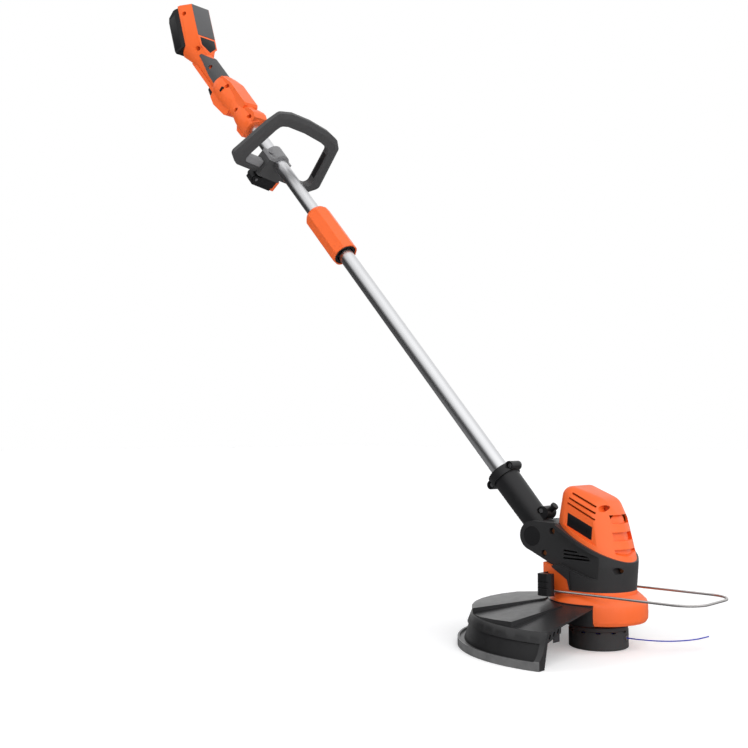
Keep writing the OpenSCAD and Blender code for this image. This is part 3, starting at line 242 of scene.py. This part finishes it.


# Painted highlight along the outer face of the guard's rim
painted_rim_highlight(guard_black, (-0.003, 0, 0), 0.1838, 0.1848, (0.17, 0.17, 0.17, 1))
bail_grey = plastic("grey bail moulding", (0.062, 0.062, 0.063), 0.5, 1200, 0.3, 0.2, Specular_IOR_Level=0.4)
spool_grey = plastic("grey spool moulding", (0.04, 0.04, 0.041), 0.45, 1300, 0.3, 0.2, Specular_IOR_Level=0.4)
soft = plastic("soft grip", (0.075, 0.075, 0.077), 0.68, 2200, 0.6, 0.25, Specular_IOR_Level=0.3)
rubber = plastic("black rubber insert", (0.009, 0.009, 0.01), 0.6, 2200, 0.5, 0.2, Specular_IOR_Level=0.3)
pale = plastic("light grey moulding", (0.23, 0.23, 0.235), 0.42, 1100, 0.2, 0.15)
panel_grey = plastic("grey panel", (0.075, 0.075, 0.078), 0.36, 1500, 0.1, 0.15)
plate = plastic("bare plate", (0.007, 0.007, 0.008), 0.32, 1500, 0.08, 0.1, Specular_IOR_Level=0.25)
board = plastic("board lacquer", (0.02, 0.13, 0.05), 0.35, 500, 0.2, 0.3)
nylon = plastic("blue nylon line", (0.01, 0.02, 0.42), 0.32, 3000, 0.2, 0.2, Coat_Weight=0.2)
sleeve_blue = plastic("cell sleeve", (0.05, 0.15, 0.4), 0.35, 600, 0.1, 0.2)
tube = metal("drawn aluminium tube", (0.8, 0.805, 0.82), 0.3, (260, 260, 3), (0, TILT - math.pi / 2, 0),
             0.006, 0.03)
steel = metal("zinc plated steel", (0.4, 0.4, 0.41), 0.36, (500, 500, 500))
blued = metal("blued blade steel", (0.09, 0.09, 0.1), 0.4, (500, 40, 500))
passivated = metal("passivated screw steel", (0.62, 0.2, 0.06), 0.4, (500, 500, 500))
wire = metal("bright steel wire", (0.62, 0.6, 0.59), 0.28, (30, 1200, 1200))
copper = metal("varnished windings", (0.45, 0.2, 0.08), 0.42, (40, 40, 900))

FINISH = {"tube_metal": tube, "orange_plastic": orange, "dark_plastic": dark, "black_plastic": black,
          "soft_grip": soft, "pale_plastic": pale, "steel": steel, "laminations": copper,
          "cell_can": sleeve_blue, "circuit_board": board, "nylon_line": nylon}
FINISH_OF = {"guard": guard_black, "wire_guide": wire, "bail_handle": bail_grey, "head_screws": passivated,
             "housing_screws": passivated, "neck_left": arm_black, "neck_right": arm_black,
             "spool_drum": spool_grey, "spool_cap": spool_grey, "cutoff_blade": blued, "bail_grip": rubber,
             "top_panel": panel_grey, "clamp_block": black}


def finish_node(name):
    return FINISH_OF.get(name) or FINISH[slot_of[name]]


for name, node in nodes.items():
    node.data.materials.clear()
    node.data.materials.append(finish_node(name))


def piece(name, bm, material, body, stands_for=(), smooth=35):
    """Makes a finished object of a bmesh, shaded smooth up to an angle, riding on a body."""
    for face in bm.faces:
        face.smooth = True
    limit = math.radians(smooth)
    for edge in bm.edges:
        edge.smooth = len(edge.link_faces) == 2 and edge.calc_face_angle(0) < limit
    mesh = bpy.data.meshes.new(name)
    bm.to_mesh(mesh)
    bm.free()
    obj = bpy.data.objects.new(name, mesh)
    bpy.context.scene.collection.objects.link(obj)
    mesh.materials.append(material)
    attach(obj, body)
    if stands_for:
        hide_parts(*stands_for)
    return obj


def rounded(node, width, segments=2, angle=28, flat=1.0, smooth=35):
    """A copy of a CAD node with its edges rounded as the moulding's are."""
    bm = bmesh.new()
    bm.from_mesh(nodes[node].data)
    bmesh.ops.remove_doubles(bm, verts=bm.verts, dist=0.00002)
    bmesh.ops.dissolve_limit(bm, angle_limit=math.radians(flat), verts=bm.verts, edges=bm.edges)
    obj = piece(node + "_moulding", bm, finish_node(node), body_of[node], (node,), smooth=smooth)
    bevel = obj.modifiers.new("edge radius", "BEVEL")
    bevel.width = width
    bevel.segments = segments
    bevel.limit_method = "ANGLE"
    bevel.angle_limit = math.radians(angle)
    bevel.use_clamp_overlap = True
    bevel.harden_normals = True
    return obj


# Edge radius of each moulding, in metres
EDGES = {"housing_left": 0.0012, "housing_right": 0.0012, "collar_pad": 0.0015, "grip_pad": 0.0008,
         "trigger": 0.0012, "lock_button": 0.0008, "battery_case": 0.0018, "battery_rail": 0.0005,
         "battery_latch": 0.0008, "bail_handle": 0.0022, "bail_grip": 0.0006, "clamp_cap": 0.0012,
         "clamp_block": 0.0012, "clamp_lever": 0.0012, "lever_tip": 0.0012, "collet": 0.0005,
         "neck_left": 0.001, "neck_right": 0.001, "tilt_button": 0.0006, "pivot_caps": 0.0008,
         "shell_left": 0.001, "shell_right": 0.001, "cap_left": 0.0008, "cap_right": 0.0008, "base": 0.001,
         "guard": 0.0008, "guide_blocks": 0.0012, "spool_drum": 0.0006, "spool_cap": 0.0006,
         "cutoff_blade": 0.0003, "line_eyelet": 0.0002}
for node, width in EDGES.items():
    rounded(node, width)


def thin_plate(name, body, centre, along, up, out, thick, edge, material=plate):
    """A thin plate with two given side vectors, raised along the third, its edges softened."""
    bm = bmesh.new()
    bmesh.ops.create_cube(bm, size=1)
    place = axes(Vector(along), Vector(up), Vector(out).normalized() * thick, centre)
    bmesh.ops.transform(bm, matrix=place, verts=bm.verts)
    bmesh.ops.recalc_face_normals(bm, faces=bm.faces)
    bmesh.ops.bevel(bm, geom=bm.edges, offset=edge, segments=2, profile=0.5, affect="EDGES", material=-1)
    return piece(name, bm, material, body)


# Bare plates on the sides of the motor cap
for hand, side in ((-1, "right"), (1, "left")):
    centre = Vector((-0.0031, hand * (0.042 - 0.1 * 0.0245), 0.1605))
    length = (0.0376, hand * 0.0017, -0.0172)
    width = (0.0006, -hand * 0.0017, 0.0168)
    thin_plate("cap_plate_" + side, "head", centre, length, width, (0, hand, 0.1), 0.0008, 0.0003)

# Battery frame: e runs up the housing from its lower end, f is the outer side
LEAN = math.radians(72.1)
UP_PACK = Vector((-math.cos(LEAN), 0, math.sin(LEAN)))
OUT_PACK = Vector((math.sin(LEAN), 0, math.cos(LEAN)))
pack_base = on_shaft(1150)


def on_pack(e, f, y=0.0):
    """A point given in millimetres up the battery housing, out of it and across it."""
    return pack_base + UP_PACK * (e / 1000) + OUT_PACK * (f / 1000) + ACROSS * (y / 1000)


def shield(name, half, top, shoulder, tip, low, high, edge, material):
    """A five-sided plate with a pointed lower end on the outer face of the battery housing."""
    bm = bmesh.new()
    bmesh.ops.create_grid(bm, x_segments=2, y_segments=1, size=0.5)
    bmesh.ops.transform(bm, matrix=axes(ACROSS * (2 * half / 1000), UP_PACK * ((top - shoulder) / 1000),
                                        OUT_PACK, on_pack((top + shoulder) / 2, low)), verts=bm.verts)
    point = min(bm.verts, key=lambda v: ((v.co - on_pack(shoulder, low)).length))
    bmesh.ops.translate(bm, verts=[point], vec=UP_PACK * ((tip - shoulder) / 1000))
    raised = bmesh.ops.extrude_face_region(bm, geom=bm.faces[:])["geom"]
    bmesh.ops.translate(bm, verts=[g for g in raised if isinstance(g, bmesh.types.BMVert)],
                        vec=OUT_PACK * ((high - low) / 1000))
    bmesh.ops.dissolve_limit(bm, angle_limit=0.02, verts=bm.verts, edges=bm.edges)
    bmesh.ops.recalc_face_normals(bm, faces=bm.faces)
    bmesh.ops.bevel(bm, geom=bm.edges, offset=edge, segments=2, profile=0.5, affect="EDGES", material=-1)
    return piece(name, bm, material, "handle")


# Outer panel: the CAD plate, drawn out to the housing's edges
bm = bmesh.new()
bm.from_mesh(nodes["top_panel"].data)
narrow = axes(ACROSS, UP_PACK, OUT_PACK, on_pack(45, 0))
reach = axes(ACROSS * 1.055, UP_PACK * 1.1, OUT_PACK, on_pack(45.5, 0)) @ narrow.inverted()
bmesh.ops.transform(bm, matrix=reach, verts=bm.verts)
bmesh.ops.translate(bm, verts=bm.verts, vec=OUT_PACK * 0.0004)
bmesh.ops.remove_doubles(bm, verts=bm.verts, dist=0.00002)
bmesh.ops.dissolve_limit(bm, angle_limit=0.02, verts=bm.verts, edges=bm.edges)
sharp = [e for e in bm.edges if e.calc_face_angle(0) > 0.5]
bmesh.ops.bevel(bm, geom=sharp, offset=0.0004, segments=2, profile=0.5, affect="EDGES", material=-1)
piece("top_panel_moulding", bm, panel_grey, "handle", ("top_panel",))
shield("panel_bezel", 20.2, 43.2, 22, 5.5, 15.2, 16.9, 0.0006, orange)
shield("panel_plate", 17.2, 40.6, 23.6, 9.5, 16.2, 17.2, 0.0003, plate)

# Raised plates on the sides of the battery
for hand, side in ((-1, "right"), (1, "left")):
    centre = on_pack(77, -33, hand * 31.5)
    thin_plate("battery_plate_" + side, "battery", centre, UP_PACK * 0.07, OUT_PACK * 0.0165, (0, hand, 0),
               0.0012, 0.0005, black)

# Grey tongue on the bail's crossbar, beside the clamp
ROLL = math.radians(7)
bail_out = OVER_SHAFT * math.cos(ROLL) + ACROSS * math.sin(ROLL)
bail_side = ACROSS * math.cos(ROLL) - OVER_SHAFT * math.sin(ROLL)
bm = bmesh.new()
bmesh.ops.create_cube(bm, size=1)
bmesh.ops.transform(bm, matrix=axes(bail_out * 0.016, bail_side * 0.042, UP_SHAFT * 0.0145,
                                    on_shaft(845) - bail_out * 0.018 - bail_side * 0.046), verts=bm.verts)
bmesh.ops.recalc_face_normals(bm, faces=bm.faces)
bmesh.ops.bevel(bm, geom=bm.edges, offset=0.004, segments=4, profile=0.5, affect="EDGES", material=-1)
piece("bail_tongue", bm, pale, "bail")

# Collet ring in the mouth of the lock sleeve
bm = bmesh.new()
bmesh.ops.create_circle(bm, cap_ends=True, segments=64, radius=0.0187)
bmesh.ops.inset_region(bm, faces=bm.faces[:], thickness=0.0041, use_boundary=True, use_even_offset=True)
middle = max(bm.faces, key=lambda f: len(f.verts))
bmesh.ops.delete(bm, geom=[middle], context="FACES")
raised = bmesh.ops.extrude_face_region(bm, geom=bm.faces[:])["geom"]
bmesh.ops.translate(bm, verts=[g for g in raised if isinstance(g, bmesh.types.BMVert)], vec=(0, 0, 0.004))
bmesh.ops.recalc_face_normals(bm, faces=bm.faces)
bmesh.ops.transform(bm, matrix=axes(OVER_SHAFT, ACROSS, UP_SHAFT, on_shaft(587)), verts=bm.verts)
bmesh.ops.recalc_face_normals(bm, faces=bm.faces)
piece("collet_ring", bm, black, "collet")

# Cutting line, a stiff free cord out of the spool's eyelet
SPOOL_R, OUTLET_Z = 39.2, 15.0
outlet = Vector((math.cos(math.radians(5)), math.sin(math.radians(5)), 0))
line_from = outlet * (SPOOL_R - 1.8) + Vector((0, 0, OUTLET_Z))
line_out = outlet * (SPOOL_R + 2.2) + Vector((0, 0, OUTLET_Z))
LINE_STEPS = [(11, 3.4, -0.6), (27, 13, -1.6), (43, 25, -2), (58, 39, -1.4), (70, 54, 0), (79, 70, 2.4)]
knots = [line_from, line_out] + [line_out + Vector(p) for p in LINE_STEPS]
knots = [k / 1000 for k in knots]


def along(i, t):
    """A point of the smooth curve through the knots, t of the way from knot i to the next."""
    a, b, c, d = (knots[max(0, min(len(knots) - 1, i + k))] for k in (-1, 0, 1, 2))
    return b + (c - a + (2 * a - 5 * b + 4 * c - d + (3 * b - a - 3 * c + d) * t) * t) * (t / 2)


line_points = [along(i, k / 5) for i in range(len(knots) - 1) for k in range(5 if i else 1)] + [knots[-1]]
curve = bpy.data.curves.new("cutting_line_cord", "CURVE")
curve.dimensions = "3D"
curve.bevel_depth = 0.000825
curve.bevel_resolution = 3
curve.use_fill_caps = True
spline = curve.splines.new("POLY")
spline.points.add(len(line_points) - 1)
for point, place in zip(spline.points, line_points):
    point.co = (*place, 1)
line = bpy.data.objects.new("cutting_line_cord", curve)
bpy.context.scene.collection.objects.link(line)
curve.materials.append(nylon)
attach(line, "rotor")
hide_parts("cutting_line")

# Camera at the photograph's angle
AZIMUTH, PITCH = math.radians(42.59), math.radians(3.17)
right = Vector((math.cos(AZIMUTH), math.sin(AZIMUTH), 0))
back = Vector((math.sin(AZIMUTH), -math.cos(AZIMUTH), 0))
ahead = -back * math.cos(PITCH) + Vector((0, 0, math.sin(PITCH)))
camera = bpy.data.objects.new("camera", bpy.data.cameras.new("camera"))
bpy.context.scene.collection.objects.link(camera)
camera.data.sensor_fit = "HORIZONTAL"
camera.data.angle = 2 * math.atan(374 / 1043)
camera.matrix_world = axes(right, right.cross(ahead), -ahead, Vector((0.7321, -1.2386, 0.2846)))
bpy.context.scene.camera = camera

# Pale floor and soft studio light
bm = bmesh.new()
bmesh.ops.create_grid(bm, x_segments=1, y_segments=1, size=14)
floor_mesh = bpy.data.meshes.new("floor")
bm.to_mesh(floor_mesh)
bm.free()
floor = bpy.data.objects.new("floor", floor_mesh)
bpy.context.scene.collection.objects.link(floor)
floor.location.z = -0.0002
paper, tree, shader = start_material("studio paper", Roughness=0.9)
shader.inputs["Specular IOR Level"].default_value = 0.0
rays = tree.nodes.new("ShaderNodeLightPath")
spot = tree.nodes.new("ShaderNodeVectorMath")
spot.operation = "LENGTH"
tree.links.new(tree.nodes.new("ShaderNodeNewGeometry").outputs["Position"], spot.inputs[0])
far = tree.nodes.new("ShaderNodeMapRange")
far.inputs["From Min"].default_value = 0.9
far.inputs["From Max"].default_value = 2.2
tree.links.new(spot.outputs["Value"], far.inputs["Value"])
mirrored = mix_colour(tree, far.outputs["Result"], (0.24, 0.24, 0.24, 1), (0.08, 0.08, 0.08, 1))
tone = mix_colour(tree, rays.outputs["Is Glossy Ray"], (0.86, 0.86, 0.86, 1), mirrored)
tree.links.new(tone, shader.inputs["Base Color"])
shader.inputs["Emission Color"].default_value = (1, 1, 1, 1)
lift = maths(tree, "MULTIPLY", rays.outputs["Is Camera Ray"], 0.28)
tree.links.new(lift, shader.inputs["Emission Strength"])
floor_mesh.materials.append(paper)

# White studio: even light for the shading, and a dark wall at the left for the reflections
world = bpy.data.worlds.new("studio")
bpy.context.scene.world = world
world.use_nodes = True
tree = world.node_tree
rays = tree.nodes.new("ShaderNodeLightPath")
toward = tree.nodes.new("ShaderNodeTexCoord").outputs["Generated"]
wall = tree.nodes.new("ShaderNodeVectorMath")
wall.operation = "DOT_PRODUCT"
wall.inputs[1].default_value = (-0.7, -0.714, 0.0)
tree.links.new(toward, wall.inputs[0])
fade = tree.nodes.new("ShaderNodeMapRange")
fade.interpolation_type = "SMOOTHSTEP"
fade.inputs["From Min"].default_value = 0.0
fade.inputs["From Max"].default_value = 0.6
tree.links.new(wall.outputs["Value"], fade.inputs["Value"])
height = tree.nodes.new("ShaderNodeSeparateXYZ")
tree.links.new(toward, height.inputs[0])
top = tree.nodes.new("ShaderNodeMapRange")
top.interpolation_type = "SMOOTHSTEP"
top.inputs["From Min"].default_value = 0.56
top.inputs["From Max"].default_value = 0.2
tree.links.new(height.outputs["Z"], top.inputs["Value"])
shaded = maths(tree, "MULTIPLY", fade.outputs["Result"], top.outputs["Result"])
mirrored = mix_colour(tree, shaded, (0.88, 0.88, 0.88, 1), (0.025, 0.025, 0.025, 1))
window = tree.nodes.new("ShaderNodeVectorMath")
window.operation = "DOT_PRODUCT"
window.inputs[1].default_value = Vector((0.75, -0.2, 0.62)).normalized()
tree.links.new(toward, window.inputs[0])
glow = tree.nodes.new("ShaderNodeMapRange")
glow.interpolation_type = "SMOOTHSTEP"
glow.inputs["From Min"].default_value = 0.45
glow.inputs["From Max"].default_value = 1.0
tree.links.new(window.outputs["Value"], glow.inputs["Value"])
mirrored = mix_colour(tree, glow.outputs["Result"], mirrored, (1.3, 1.3, 1.3, 1))
lit = mix_colour(tree, rays.outputs["Is Glossy Ray"], (0.44, 0.44, 0.45, 1), mirrored)
seen = mix_colour(tree, rays.outputs["Is Camera Ray"], lit, (1, 1, 1, 1))
tree.links.new(seen, tree.nodes["Background"].inputs["Color"])


def soft_box(name, place, aim, size, power):
    data = bpy.data.lights.new(name, "AREA")
    data.shape = "RECTANGLE"
    data.size, data.size_y = size
    data.energy = power
    lamp = bpy.data.objects.new(name, data)
    bpy.context.scene.collection.objects.link(lamp)
    lamp.location = place
    lamp.visible_glossy = False
    lamp.rotation_euler = (Vector(aim) - Vector(place)).to_track_quat("-Z", "Y").to_euler()


soft_box("fill", (-1.5, -1.5, 1.5), (-0.8, 0, 0.95), (0.9, 0.9), 9)
sun = bpy.data.objects.new("key", bpy.data.lights.new("key", "SUN"))
bpy.context.scene.collection.objects.link(sun)
sun.visible_glossy = False
sun.data.energy = 2.3
sun.data.angle = math.radians(85)
sun.rotation_euler = Vector((-0.9, 0.25, -0.75)).to_track_quat("-Z", "Y").to_euler()
bpy.context.scene.view_settings.view_transform = "Standard"
